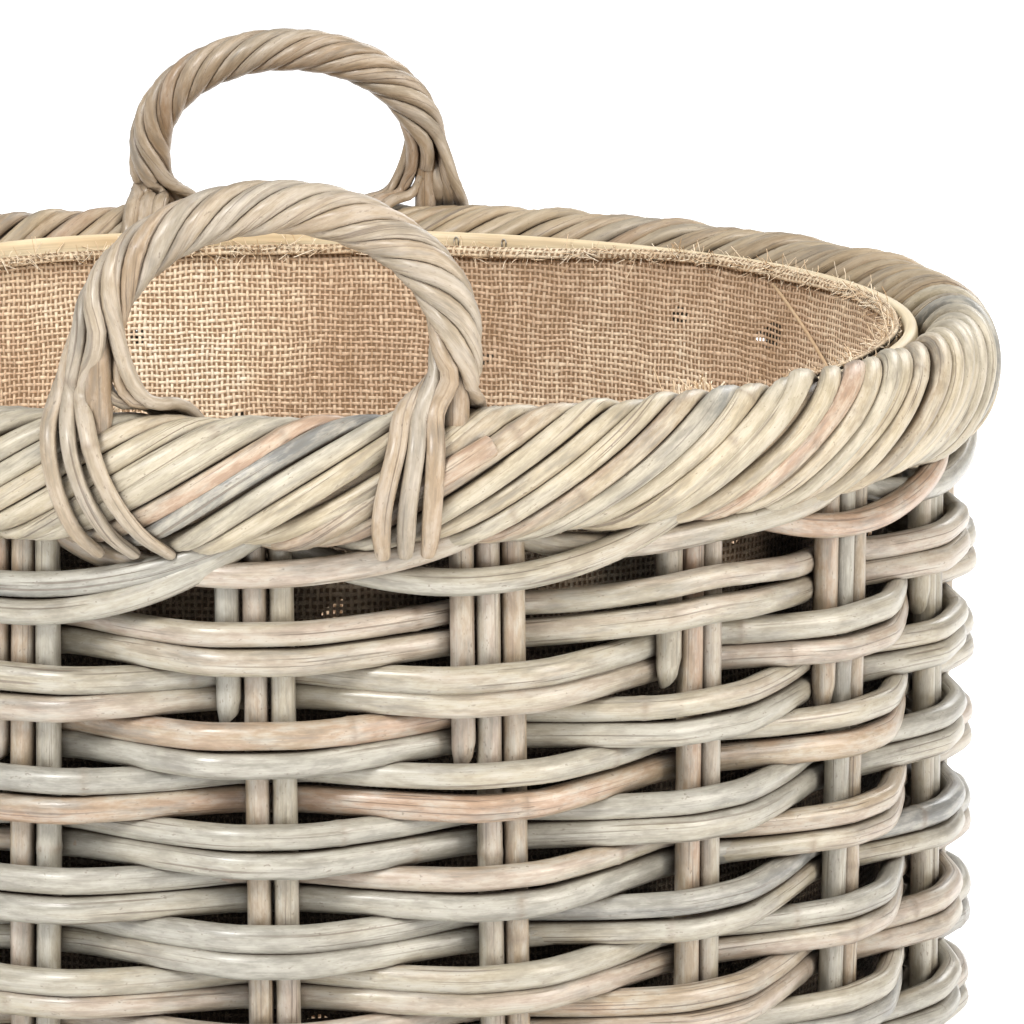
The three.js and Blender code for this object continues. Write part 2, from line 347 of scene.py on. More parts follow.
def node_places(rng, length, spacing):
    """Where the cane's node rings are: unevenly spaced, and clear of both ends."""
    clear = 8 * MM
    places = []
    place = rng.uniform(0.1, 1.0) * spacing
    while place < length - clear:
        if place > clear:
            places.append(place)
        place += spacing * rng.uniform(0.7, 1.3)
    return np.array(places)


def cap_rings(style, half):
    """How far each closing ring stands out past a strand's end, and its share of the section."""
    if style == "round":
        angles = np.radians([28, 55, 78])
        return list(zip(half * np.sin(angles), np.cos(angles)))
    return [(0.35 * MM, 0.93), (0.45 * MM, 0.72)]


def strand_faces(stations, sides):
    """The quads along a strand's rings, and the triangles that close its two ends."""
    here = np.arange(stations - 1)[:, None] * sides + np.arange(sides)
    after = np.arange(stations - 1)[:, None] * sides + (np.arange(sides) + 1) % sides
    quads = np.stack([here, here + sides, after + sides, after], -1).reshape(-1, 4)
    first = np.full(sides, stations * sides)
    ring = np.arange(sides)
    next_ring = (ring + 1) % sides
    base = (stations - 1) * sides
    triangles = np.concatenate([
        np.stack([first, ring, next_ring], -1),
        np.stack([first + 1, base + next_ring, base + ring], -1),
    ])
    return quads, triangles


def add_strand(
    bundle, path, facing, wide, thick, rng, tint, step=6 * MM, sides=12, power=2.25,
    ends=("cut", "cut"), taper=(None, None), spacing=0.26, tilt=0.0, uneven=0.03, slant=0.0,
):
    """Sweeps a cane along a path. Facing is the way its flatter side looks; sizes are half-widths.

    A taper is (length, share): over that length the section shrinks to that share at the end.
    A slant cuts the first end at an angle, and is that cut's slope.
    """
    along = distances(path)
    length = along[-1]
    rings = node_places(rng, length, spacing)
    places = np.linspace(0, length, max(4, int(length / step) + 1))
    close = (rings[:, None] + np.array([-2.6, -1.3, 0, 1.3, 2.6]) * MM).ravel()
    places = np.unique(np.concatenate([places, close[(close > 0) & (close < length)]]))
    centre = sampled(along, path, places)
    tangent = unit(np.gradient(centre, places, axis=0))
    face = sampled(along, facing, places)
    face = unit(face - (face * tangent).sum(1)[:, None] * tangent)
    side = np.cross(tangent, face)
    if tilt:
        turned = face * math.cos(tilt) + side * math.sin(tilt)
        side = side * math.cos(tilt) - face * math.sin(tilt)
        face = turned
    swell = 1 + wander(rng, places, 0.05, uneven)
    mark = np.zeros(len(places))
    for ring in rings:
        away = (places - ring) / MM
        swell = swell + 0.055 * np.exp(-((away / 1.6) ** 2))
        mark = np.maximum(mark, np.exp(-((away / 1.5) ** 2)))
    shrink = np.ones(len(places))
    for at_end, setting in enumerate(taper):
        if setting:
            reach = length - places if at_end else places
            share = np.clip(reach / setting[0], 0, 1)
            shrink *= setting[1] + (1 - setting[1]) * share * (2 - share)
    swell = swell * shrink
    seed = rng.uniform(0, 1)
    rows = [(centre, side, face, swell, places, mark)]
    for at_end, sign in ((0, -1), (-1, 1)):
        caps = cap_rings(ends[at_end], min(wide, thick) * swell[at_end])
        cap = (
            np.array([centre[at_end] + sign * tangent[at_end] * reach for reach, _ in caps]),
            np.array([side[at_end]] * len(caps)),
            np.array([face[at_end]] * len(caps)),
            np.array([swell[at_end] * share for _, share in caps]),
            np.array([places[at_end] + sign * reach for reach, _ in caps]),
            np.zeros(len(caps)),
        )
        if at_end == 0:
            rows.insert(0, tuple(column[::-1] for column in cap))
        else:
            rows.append(cap)
    centre, side, face, swell, places, mark = (np.concatenate(column) for column in zip(*rows))
    section_across, section_outer = cross_section(sides, power)
    across = section_across * wide * swell[:, None]
    outer = section_outer * thick * swell[:, None]
    points = centre[:, None] + side[:, None] * across[..., None] + face[:, None] * outer[..., None]
    if slant:
        near_end = np.exp(-np.maximum(places, 0) / (8 * MM))[:, None]
        points += tangent[0] * (slant * across * near_end)[..., None]
    stations = len(centre)
    grain = np.empty((stations, sides, 3))
    grain[..., 0] = places[:, None]
    grain[..., 1] = across
    grain[..., 2] = outer
    tone = np.empty((stations, sides, 3))
    tone[..., 0] = seed
    tone[..., 1] = tint
    tone[..., 2] = mark[:, None]
    tips = centre[[0, -1]]
    tip_grain = np.array([[places[0], 0, 0], [places[-1], 0, 0]])
    bundle.add(
        np.concatenate([points.reshape(-1, 3), tips]),
        np.concatenate([grain.reshape(-1, 3), tip_grain]),
        np.concatenate([tone.reshape(-1, 3), [[seed, tint, 0]] * 2]),
        *strand_faces(stations, sides),
    )


def ring_keys(angle, radius, height):
    """Key rows of points at these angles, each facing outward."""
    return np.hstack([ring_points(angle, radius, height), outward(angle)])


def add_curve(bundle, keys, wide, thick, rng, tint, key_step=1.5 * MM, **style):
    """Sweeps a cane along a smooth curve through rows of (point, facing)."""
    curve = smooth_curve(keys, key_step)
    add_strand(bundle, curve[:, :3], curve[:, 3:], wide, thick, rng, tint, **style)


def finish_piece(bundle, material, replaced):
    """Makes the bundle's object, in this material slot, standing for these CAD nodes."""
    piece = bundle.mesh_object(material)
    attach(piece, "root")
    if replaced:
        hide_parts(*replaced)
    return piece


# ---- Materials ----
class Shader:
    """A node material under construction, with short calls for the nodes it needs."""

    def __init__(self, name):
        self.material = bpy.data.materials.new(name)
        self.material.use_nodes = True
        self.tree = self.material.node_tree
        self.tree.nodes.clear()
        self.surface = self.node("ShaderNodeBsdfPrincipled")
        output = self.node("ShaderNodeOutputMaterial")
        self.tree.links.new(self.surface.outputs["BSDF"], output.inputs["Surface"])

    def node(self, kind, inputs=(), **settings):
        """A new node, with its first sockets fed in order."""
        node = self.tree.nodes.new(kind)
        for name, value in settings.items():
            setattr(node, name, value)
        for socket, value in zip(node.inputs, inputs):
            self.put(socket, value)
        return node

    def put(self, socket, value):
        if isinstance(value, bpy.types.NodeSocket):
            self.tree.links.new(value, socket)
        else:
            socket.default_value = value

    def feed(self, name, value):
        """Feeds the surface's own socket of this name."""
        self.put(self.surface.inputs[name], value)

    def attribute(self, name):
        return self.node("ShaderNodeAttribute", attribute_name=name).outputs["Vector"]

    def parts(self, vector):
        return self.node("ShaderNodeSeparateXYZ", [vector]).outputs

    def vector(self, x, y, z):
        return self.node("ShaderNodeCombineXYZ", (x, y, z)).outputs[0]

    def math(self, operation, first, second=0.0, third=0.0):
        return self.node("ShaderNodeMath", (first, second, third), operation=operation).outputs[0]

    def times(self, first, second):
        return self.math("MULTIPLY", first, second)

    def times_plus(self, first, second, third):
        return self.math("MULTIPLY_ADD", first, second, third)

    def noise(self, place, stretch, detail=2.0, roughness=0.5):
        """Noise over a place, whose parts are first multiplied by stretch."""
        scaled = self.node("ShaderNodeVectorMath", (place, stretch), operation="MULTIPLY")
        node = self.node("ShaderNodeTexNoise", [scaled.outputs[0]])
        node.inputs["Scale"].default_value = 1.0
        node.inputs["Detail"].default_value = detail
        node.inputs["Roughness"].default_value = roughness
        return node.outputs[0]

    def ranged(self, value, low, high, to_low=0.0, to_high=1.0):
        return self.node("ShaderNodeMapRange", (value, low, high, to_low, to_high)).outputs[0]

    def ramp(self, value, stops):
        node = self.node("ShaderNodeValToRGB", [value])
        elements = node.color_ramp.elements
        while len(elements) < len(stops):
            elements.new(0.5)
        for element, (place, colour) in zip(elements, stops):
            element.position = place
            element.color = (*colour, 1)
        return node.outputs[0]

    def mix(self, share, first, second, blend="MIX"):
        node = self.node("ShaderNodeMix", data_type="RGBA", blend_type=blend)
        self.put(node.inputs["Factor"], share)
        for socket, colour in ((node.inputs[6], first), (node.inputs[7], second)):
            self.put(socket, (*colour, 1) if isinstance(colour, tuple) else colour)
        return node.outputs[2]

    def dimmed(self, colour, value):
        """A colour multiplied by one value."""
        return self.mix(1.0, colour, self.vector(value, value, value), "MULTIPLY")

    def openness(self, distance):
        """How open the surface is to its surroundings within a distance: 1 is fully open."""
        node = self.node("ShaderNodeAmbientOcclusion", samples=4)
        node.inputs["Distance"].default_value = distance
        return node.outputs["AO"]

    def bump(self, height, distance, strength):
        node = self.node("ShaderNodeBump")
        self.put(node.inputs["Height"], height)
        node.inputs["Distance"].default_value = distance
        node.inputs["Strength"].default_value = strength
        self.feed("Normal", node.outputs[0])

    def cane(self):
        """A place on the cane's surface that no two canes share, the cane's tint and its node mark."""
        seed, tint, mark = self.parts(self.attribute("tone"))
        along, across, outer = self.parts(self.attribute("grain"))
        return self.vector(self.times_plus(seed, 37.0, along), across, outer), tint, mark


BLUE_GREY = (0.19, 0.19, 0.18)
GREY = (0.28, 0.27, 0.235)
ASH = (0.35, 0.33, 0.275)
STRAW = (0.38, 0.335, 0.25)
BLUSH = (0.40, 0.325, 0.26)
TAN = (0.36, 0.285, 0.195)
ROSE = (0.40, 0.275, 0.19)
CRACK = (0.11, 0.075, 0.05)
NODE_RING = (0.17, 0.12, 0.08)
SMUDGE = (0.17, 0.155, 0.13)
# Near black, painted as shade where canes touch
CREVICE_SHADE = (0.055, 0.034, 0.02)
THREAD_SHADOW = (0.27, 0.17, 0.095)


def rattan_material(name, stops, pale, pale_share, gloss, wax):
    """Weathered rattan: each cane has its own tint, with long fibres, blotches and cracks, and painted
    shade where the canes it touches close it in.

    Gloss is the least roughness, and wax is the weight of the thin shiny coat.
    """
    shader = Shader(name)
    place, tint, mark = shader.cane()
    slow = shader.noise(place, (10, 70, 70), 2.0, 0.55)
    blotch = shader.noise(place, (70, 240, 240), 4.0, 0.68)
    stripe = shader.noise(place, (9, 430, 430), 3.0, 0.6)
    smudge_field = shader.noise(place, (32, 170, 170), 4.0, 0.7)
    fibre = shader.noise(place, (45, 2600, 2600), 2.0, 0.6)
    crack_field = shader.noise(place, (15, 1150, 1150), 1.0, 0.4)
    speck_field = shader.noise(place, (420, 900, 900), 2.0, 0.6)
    drift = shader.times_plus(slow, 0.8, -0.4)
    colour = shader.ramp(shader.math("ADD", tint, drift), stops)
    bleach = shader.ranged(blotch, 0.45, 0.66, 0.0, pale_share)
    colour = shader.mix(bleach, colour, pale)
    dull = shader.ranged(blotch, 0.3, 0.5, 0.76, 1.0)
    colour = shader.dimmed(colour, shader.times(shader.ranged(stripe, 0.3, 0.6, 0.9, 1.04), dull))
    colour = shader.dimmed(colour, shader.ranged(fibre, 0.3, 0.7, 0.9, 1.07))
    colour = shader.mix(shader.ranged(smudge_field, 0.5, 0.68, 0.0, 0.62), colour, SMUDGE)
    worn = shader.ranged(slow, 0.4, 0.58)
    crack = shader.times(shader.ranged(crack_field, 0.63, 0.68), worn)
    spotted = shader.ranged(blotch, 0.4, 0.55)
    speck = shader.times(shader.ranged(speck_field, 0.65, 0.7), spotted)
    colour = shader.mix(shader.times(crack, 0.6), colour, CRACK)
    colour = shader.mix(shader.times(speck, 0.5), colour, CRACK)
    ring = shader.times(mark, shader.ranged(stripe, 0.35, 0.6, 0.05, 0.55))
    colour = shader.mix(ring, colour, NODE_RING)
    # Painted shade: the colour goes towards near black where other canes close the surface in within 5
    # mm, as in the contact lines between canes.
    crevice_shade = shader.ranged(shader.openness(5 * MM), 0.16, 0.56, 1.0, 0.0)
    colour = shader.mix(crevice_shade, colour, CREVICE_SHADE)
    shader.feed("Base Color", colour)
    shader.feed("Roughness", shader.ranged(blotch, 0.35, 0.65, gloss, gloss + 0.2))
    shader.surface.inputs["Coat Weight"].default_value = wax
    shader.surface.inputs["Coat Roughness"].default_value = 0.2
    height = shader.times_plus(stripe, 0.7, shader.times(fibre, 0.25))
    height = shader.math("SUBTRACT", height, shader.times(crack, 0.6))
    height = shader.times_plus(blotch, 0.3, height)
    shader.bump(height, 0.35 * MM, 0.9)
    return shader.material


def hoop_material():
    """Smooth peeled cane, cream with faint long fibres."""
    shader = Shader("peeled_cane")
    place, _, _ = shader.cane()
    slow = shader.noise(place, (14, 70, 70), 2.0, 0.5)
    fibre = shader.noise(place, (16, 900, 900), 3.0, 0.6)
    stops = [(0.3, (0.56, 0.41, 0.235)), (0.5, (0.73, 0.60, 0.395)), (0.75, (0.80, 0.70, 0.51))]
    colour = shader.ramp(slow, stops)
    shader.feed("Base Color", shader.dimmed(colour, shader.ranged(fibre, 0.3, 0.7, 0.82, 1.06)))
    shader.feed("Roughness", shader.ranged(fibre, 0.3, 0.7, 0.42, 0.6))
    shader.bump(fibre, 0.3 * MM, 0.6)
    return shader.material


def thread_set(shader, own, other, grain, stretch):
    """One direction's threads: the place across them is own, along them other, counted in threads.

    Gives each thread's round profile, its wave over and under, its fibres, how thick this stretch
    of it is, and whether there is a thread here at all.
    """
    number = shader.math("ROUND", own)
    away = shader.math("ABSOLUTE", shader.math("SUBTRACT", own, number))
    spot = shader.vector(shader.times(number, 7.31), shader.times(other, 0.22), 0.0)
    lane = shader.noise(spot, (1, 1, 1), 2.0, 0.6)
    inside = shader.math("DIVIDE", away, shader.ranged(lane, 0.25, 0.75, 0.17, 0.34))
    left_over = shader.math("SUBTRACT", 1.0, shader.times(inside, inside))
    profile = shader.math("SQRT", shader.math("MAXIMUM", left_over, 0.0))
    odd = shader.math("MODULO", shader.math("ABSOLUTE", number), 2.0)
    parity = shader.times_plus(odd, -2.0, 1.0)
    wave = shader.times(shader.math("COSINE", shader.times(other, math.pi)), parity)
    fibre = shader.noise(grain, stretch, 2.0, 0.6)
    there = shader.math("LESS_THAN", inside, 1.0)
    return profile, wave, fibre, lane, there


def thread_height(shader, threads, over):
    """A thread's height where it crosses the other direction; far down where there is none."""
    profile, wave, _, _, there = threads
    height = shader.times_plus(wave, over, shader.times(profile, 0.6))
    return shader.times_plus(shader.math("SUBTRACT", 1.0, there), -2.0, height)


def hessian_material(name, stops, open_weave):
    """Plain-woven jute: thread over thread, uneven, with real holes in the thin places if open."""
    shader = Shader(name)
    grain = shader.attribute("grain")
    along, across, _ = shader.parts(grain)
    counts = []
    for length, stretch in ((along, (45, 45, 45)), (across, (38, 52, 10))):
        bend = shader.times_plus(shader.noise(grain, stretch), 1.6, -0.8)
        counts.append(shader.times_plus(length, 1 / THREAD_PITCH, bend))
    warp = thread_set(shader, counts[0], counts[1], grain, (900, 60, 1))
    weft = thread_set(shader, counts[1], counts[0], grain, (60, 900, 1))
    warp_height = thread_height(shader, warp, 0.32)
    weft_height = thread_height(shader, weft, -0.32)
    warp_on_top = shader.math("GREATER_THAN", warp_height, weft_height)
    height = shader.math("MAXIMUM", warp_height, weft_height)
    there = shader.math("MAXIMUM", warp[4], weft[4])
    top_weft = shader.vector(weft[3], weft[2], 0.0)
    top_warp = shader.vector(warp[3], warp[2], 0.0)
    lane_tint, lane_fibre, _ = shader.parts(shader.mix(warp_on_top, top_weft, top_warp))
    patch = shader.noise(grain, (9, 9, 9), 3.0, 0.6)
    own_tint = shader.times_plus(lane_tint, 0.65, -0.28)
    colour = shader.ramp(shader.times_plus(patch, 0.9, own_tint), stops)
    # Painted shade in the weave: the threads are darker in their low places and lighter on their crowns.
    # The thread fibres vary it too, and the gaps get the thread shadow colour.
    depth = shader.ranged(height, -0.3, 0.75, 0.6, 1.12)
    shade = shader.times(depth, shader.ranged(lane_fibre, 0.3, 0.7, 0.84, 1.1))
    colour = shader.mix(there, THREAD_SHADOW, shader.dimmed(colour, shade))
    # Painted shade: the sheet darkens where nearby canes and the hoop close it in within 30 mm, as behind
    # the wall, except just under the hem.
    painted_shade_scale = shader.ranged(shader.openness(30 * MM), 0.5, 0.85, 0.03, 1.0)
    under_hem = shader.ranged(across, LINER_HIGH.z - 40 * MM, LINER_HIGH.z - 15 * MM)
    colour = shader.dimmed(colour, shader.math("MAXIMUM", painted_shade_scale, under_hem))
    shader.feed("Base Color", colour)
    shader.feed("Roughness", shader.ranged(lane_fibre, 0.3, 0.7, 0.8, 0.95))
    shader.surface.inputs["Specular IOR Level"].default_value = 0.25
    shader.bump(shader.math("MAXIMUM", height, -0.5), 0.8 * MM, 0.9)
    if open_weave:
        thin_place = shader.noise(grain, (26, 40, 30), 1.0, 0.5)
        tight = shader.math("LESS_THAN", thin_place, 0.7)
        shader.feed("Alpha", shader.math("MAXIMUM", there, tight))
    return shader.material


def fibre_material():
    """Loose jute fibres, each with its own paleness."""
    shader = Shader("jute_fibre")
    seed = shader.parts(shader.attribute("tone"))[0]
    field = shader.noise(shader.attribute("grain"), (300, 900, 900))
    stops = [(0.2, (0.50, 0.33, 0.18)), (0.6, (0.80, 0.63, 0.44)), (1.0, (0.90, 0.79, 0.62))]
    shader.feed("Base Color", shader.ramp(shader.times_plus(field, 0.3, seed), stops))
    shader.feed("Roughness", shader.ranged(field, 0.3, 0.7, 0.6, 0.8))
    return shader.material


def wire_material():
    """Dull grey staple wire."""
    shader = Shader("staple_wire")
    field = shader.noise(shader.attribute("grain"), (600, 900, 900))
    shader.feed("Base Color", shader.ramp(field, [(0.3, (0.30, 0.28, 0.25)), (0.7, (0.55, 0.53, 0.50))]))
    shader.surface.inputs["Metallic"].default_value = 1.0
    shader.feed("Roughness", shader.ranged(field, 0.3, 0.7, 0.35, 0.55))
    return shader.material


WEAVE_STOPS = [
    (0.0, BLUE_GREY), (0.14, GREY), (0.34, ASH), (0.52, STRAW), (0.68, BLUSH), (0.84, TAN), (1.0, ROSE),
]
BORDER_STOPS = [
    (0.0, BLUE_GREY), (0.12, GREY), (0.32, (0.415, 0.37, 0.28)), (0.62, (0.44, 0.37, 0.255)),
    (0.84, TAN), (1.0, ROSE),
]
# The back of the border in browner, darker colours: painted shade, for the back rim stands in shade.
SHADED_BACK_BORDER_STOPS = [
    (0.0, GREY), (0.2, (0.36, 0.30, 0.215)), (0.5, (0.38, 0.295, 0.19)),
    (0.8, (0.31, 0.225, 0.14)), (1.0, (0.33, 0.225, 0.145)),
]
HANDLE_STOPS = [
    (0.0, (0.35, 0.305, 0.24)), (0.3, (0.36, 0.29, 0.205)), (0.55, (0.35, 0.26, 0.17)),
    (0.8, (0.31, 0.22, 0.135)), (1.0, (0.33, 0.22, 0.14)),
]
SHEET_STOPS = [
    (0.15, (0.40, 0.255, 0.145)), (0.42, (0.65, 0.47, 0.325)),
    (0.6, (0.82, 0.65, 0.47)), (0.85, (0.96, 0.87, 0.71)),
]
ROLL_STOPS = [
    (0.15, (0.46, 0.32, 0.19)), (0.42, (0.64, 0.49, 0.33)),
    (0.6, (0.76, 0.63, 0.46)), (0.85, (0.86, 0.76, 0.59)),
]
WEAVE_RATTAN = rattan_material("weathered_rattan", WEAVE_STOPS, (0.47, 0.45, 0.395), 0.6, 0.28, 0.3)
BORDER_RATTAN = rattan_material("border_rattan", BORDER_STOPS, (0.575, 0.52, 0.42), 0.6, 0.36, 0.12)
SHADED_BACK_BORDER_RATTAN = rattan_material(
    "shaded_back_border_rattan", SHADED_BACK_BORDER_STOPS, (0.45, 0.38, 0.285), 0.5, 0.4, 0.1
)
HANDLE_RATTAN = rattan_material("handle_rattan", HANDLE_STOPS, (0.50, 0.44, 0.375), 0.5, 0.34, 0.15)
PEELED_CANE = hoop_material()
HESSIAN = hessian_material("hessian", SHEET_STOPS, True)
HESSIAN_ROLL = hessian_material("hessian_roll", ROLL_STOPS, False)
JUTE = fibre_material()
WIRE = wire_material()


# ---- The wall: stakes and woven rows ----
def row_wave(row, before):
    """Round the basket, +1 where the row stands in front of a stake group and -1 where behind."""
    knots = []
    values = []
    for group in range(GROUPS):
        in_front = (row + group) % 2 == 0
        lead = before if in_front else WRAP_HALF
        knots.append(group_angle(group) - lead / WALL_RADIUS)
        knots.append(group_angle(group) + WRAP_HALF / WALL_RADIUS)
        values += [1 if in_front else -1] * 2
    cells = 2000
    grid = np.arange(cells) * TURN / cells
    wave = np.interp(grid, knots, values, period=TURN)
    spread = BEND_SOFTNESS / WALL_RADIUS * cells / TURN
    reach = int(4 * spread)
    kernel = np.exp(-0.5 * (np.arange(-reach, reach + 1) / spread) ** 2)
    padded = np.concatenate([wave[-reach:], wave, wave[:reach]])
    soft = np.convolve(padded, kernel / kernel.sum(), "valid")
    return lambda angle: np.interp(angle, grid, soft, period=TURN)


def row_tint(rng):
    """Mostly ash and straw canes, with a few rosy and a few blue-grey ones."""
    draw = rng.uniform()
    if draw < 0.08:
        return rng.uniform(0.02, 0.2)
    if draw < 0.22:
        return rng.uniform(0.78, 0.98)
    return rng.uniform(0.24, 0.76)


def top_row_lift(angle):
    """How far the top row is pushed up towards the border, at the few groups where it is."""
    lift = np.zeros(len(angle))
    for group in LIFTED_GROUPS:
        away = (angle - group_angle(group) + TURN / 2) % TURN - TURN / 2
        lift += TOP_ROW_LIFT * np.exp(-((away / (0.6 * GROUP_TURN)) ** 2))
    return lift


def build_row(row):
    """One row: two canes one above the other, each in three lengths that overlap a little."""
    rng = np.random.default_rng(SEED + row)
    name = ROW_NODES[row]
    low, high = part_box(name)
    middle = (low.z + high.z) / 2
    near_short_canes = middle > STAKE_HIGH.z - SHORT_CANE_LENGTH
    wave = row_wave(row, WRAP_SHORT_CANE if near_short_canes else WRAP_HALF)
    bundle = Bundle(name.replace("weave", "canes"))
    for level in (-1, 1):
        start = row % 2 + 1 + 2 * int(rng.integers(0, GROUPS // 2))
        for groups in (6, 8, 6):
            first = group_angle(start) - ROW_OVERLAP
            last = group_angle(start + groups) + ROW_OVERLAP
            angle = np.arange(first, last, 1.5 * MM / WALL_RADIUS)
            along = (angle - angle[0]) * WALL_RADIUS
            side = wave(angle)
            split = level * ROW_SPLIT * (0.92 + 0.08 * side**2)
            height = middle + split - ROW_DROOP * side + wander(rng, along, 0.09, 0.9 * MM)
            if row == len(ROW_NODES) - 1:
                height = height + top_row_lift(angle)
            out = WALL_RADIUS + ROW_OFFSET * side + wander(rng, along, 0.07, 0.5 * MM)
            wide = ROW_CANE_WIDE * rng.uniform(0.88, 1.06)
            thick = ROW_CANE_THICK * rng.uniform(0.93, 1.03)
            add_strand(
                bundle, ring_points(angle, out, height), outward(angle), wide, thick, rng,
                row_tint(rng), taper=((0.03, 0.6), (0.03, 0.6)),
            )
            start += groups
    finish_piece(bundle, WEAVE_RATTAN, [name])


def add_stake_group(bundle, group, rng):
    """Two upright canes side by side, and the short third one on their left under the border."""
    foot = STAKE_LOW.z - 12 * MM
    top = STAKE_HIGH.z + 10 * MM
    lean = math.radians(rng.uniform(-1.2, 1.2))
    row_pitch = (STAKE_HIGH.z - STAKE_LOW.z) / (len(ROW_NODES) + 2)
    short = SHORT_CANE_LENGTH - (row_pitch if group % 2 == 0 else 0) + rng.uniform(-2, 4) * MM
    for place, low in ((-1, foot), (1, foot), (-3, STAKE_HIGH.z - short)):
        height = np.linspace(low, top, 160)
        along = height - low
        aside = place * CANE / 2 + (BORDER_BOTTOM - height) * math.tan(lean)
        aside = aside + wander(rng, along, 0.12, 0.4 * MM)
        radius = WALL_RADIUS + wander(rng, along, 0.12, 0.4 * MM)
        angle = group_angle(group) + aside / radius
        is_short = place == -3
        wide = CANE / 2 * rng.uniform(0.92, 0.98)
        thick = CANE / 2 * rng.uniform(0.95, 1.0)
        add_strand(
            bundle, ring_points(angle, radius, height), outward(angle), wide, thick, rng,
            rng.uniform(0.3, 1.0), power=2.1, taper=((0.006, 0.75) if is_short else None, None),
            slant=0.9 if is_short else 0.0,
        )


def build_stakes():
    """The stake groups, in four pieces of a quarter of them each."""
    quarter = GROUPS // 4
    for index, side in enumerate(("front", "right", "back", "left")):
        rng = np.random.default_rng(SEED + 100 + index)
        bundle = Bundle("stakes_" + side)
        groups = [(index * quarter + place - quarter // 2) % GROUPS for place in range(quarter)]
        for group in groups:
            add_stake_group(bundle, group, rng)
        finish_piece(bundle, WEAVE_RATTAN, [STAKE_NODES[group] for group in groups])


# ---- The rolled borders ----
class Oval:
    """A border's outline in the plane of (outward, up), walked by share of its length."""

    def __init__(self, radius, middle, half_out, half_up, lowest=-1.0):
        self.radius = radius
        self.middle = middle
        self.half_out = half_out
        self.half_up = half_up
        self.lowest = lowest
        self.turns = np.linspace(-TURN / 2, 1.5 * TURN, 2881)
        outline = np.column_stack([half_out * np.cos(self.turns), half_up * np.sin(self.turns)])
        length = distances(outline)
        bottom = np.interp(-TURN / 4, self.turns, length)
        around = np.interp(0.75 * TURN, self.turns, length) - bottom
        self.shares = (length - bottom) / around

    def turn_at(self, share):
        """The angle round the oval at a share of its length, from its lowest point up the outside."""
        return np.interp(share, self.shares, self.turns)

    def place(self, angle, turn, lift=0.0):
        """Points on the oval, lifted off it, and the way the surface faces there."""
        out = np.cos(turn) / self.half_out
        up = np.sin(turn) / self.half_up
        size = np.hypot(out, up)
        out, up = out / size, up / size
        radius = self.radius + self.half_out * np.cos(turn) + lift * out
        height = np.maximum(self.middle + self.half_up * np.sin(turn) + lift * up, self.lowest)
        facing = outward(angle) * np.atleast_1d(out)[:, None]
        facing[:, 2] = up
        return ring_points(angle, radius, height), facing


RIM_OVAL = Oval(
    BORDER_RADIUS, BORDER_MIDDLE, BORDER_THICKNESS / 2 - BORDER_THICK, BORDER_HALF_UP - BORDER_THICK
)


def marked_tints():
    """The tints of the rim strands that stand out, by strand number."""
    tints = {}
    for degrees, tint in MARKED_STRANDS:
        start = math.radians(degrees) - TURN / BORDER_TURNS / 4
        tints[round(start / TURN * BORDER_STRANDS) % BORDER_STRANDS] = tint
    return tints


def border_tint(rng):
    """Mostly pale straw canes, with a few blue-grey and a few brown or rosy ones."""
    draw = rng.uniform()
    if draw < 0.045:
        return rng.uniform(0.02, 0.14)
    if draw < 0.2:
        return rng.uniform(0.76, 0.98)
    return rng.uniform(0.3, 0.72)


def rim_keys(rng, start_angle, first, last):
    """One strand's way round the border's oval, as rows of point and facing.

    Underneath the border the strands hang unevenly, which gives its lower edge its lumps.
    """
    share = np.arange(first, last + 0.001, 0.04)
    hang = rng.uniform(-0.8, 2.2) * MM * np.exp(-(((share - 0.04) / 0.13) ** 2))
    lift = rng.uniform(-0.8, 0.8) * MM + wander(rng, share, 0.3, 0.6 * MM) + hang
    angle = start_angle + (share + wander(rng, share, 0.35, 0.018)) * TURN / BORDER_TURNS
    return np.hstack(RIM_OVAL.place(angle, RIM_OVAL.turn_at(share), lift))


def add_border_core(bundle, oval, rng):
    """A filling inside the rolled strands, so that no gap between them shows light."""
    columns, sides = 240, 24
    angle = np.arange(columns) * TURN / columns
    turn = np.arange(sides) * TURN / sides
    rings = [oval.place(angle, np.full(columns, place), -CORE_SINK)[0] for place in turn]
    points = np.stack(rings, 1).reshape(-1, 3)
    here = np.arange(columns * sides).reshape(columns, sides)
    ahead = np.roll(here, -1, 0)
    quads = np.stack([here, ahead, np.roll(ahead, -1, 1), np.roll(here, -1, 1)], -1).reshape(-1, 4)
    grain = np.zeros_like(points)
    grain[:, 0] = np.repeat(angle * oval.radius, sides)
    grain[:, 1] = np.tile(turn * oval.half_up, columns)
    tone = np.tile([rng.uniform(), 0.6, 0.0], (len(points), 1))
    bundle.add(points, grain, tone, quads)


def add_stub(bundle, rng):
    """A border cane whose cut end stands off the border beside the front handle's right foot."""
    keys = []
    for degrees, turn, lift in STUB_WAY:
        place, facing = RIM_OVAL.place(math.radians(degrees), math.radians(turn), lift * MM)
        keys.append(np.concatenate([place[0], facing[0]]))
    add_curve(bundle, keys, STUB_WIDE, STUB_THICK, rng, 0.92, step=4 * MM, power=2.0, spacing=0.06)


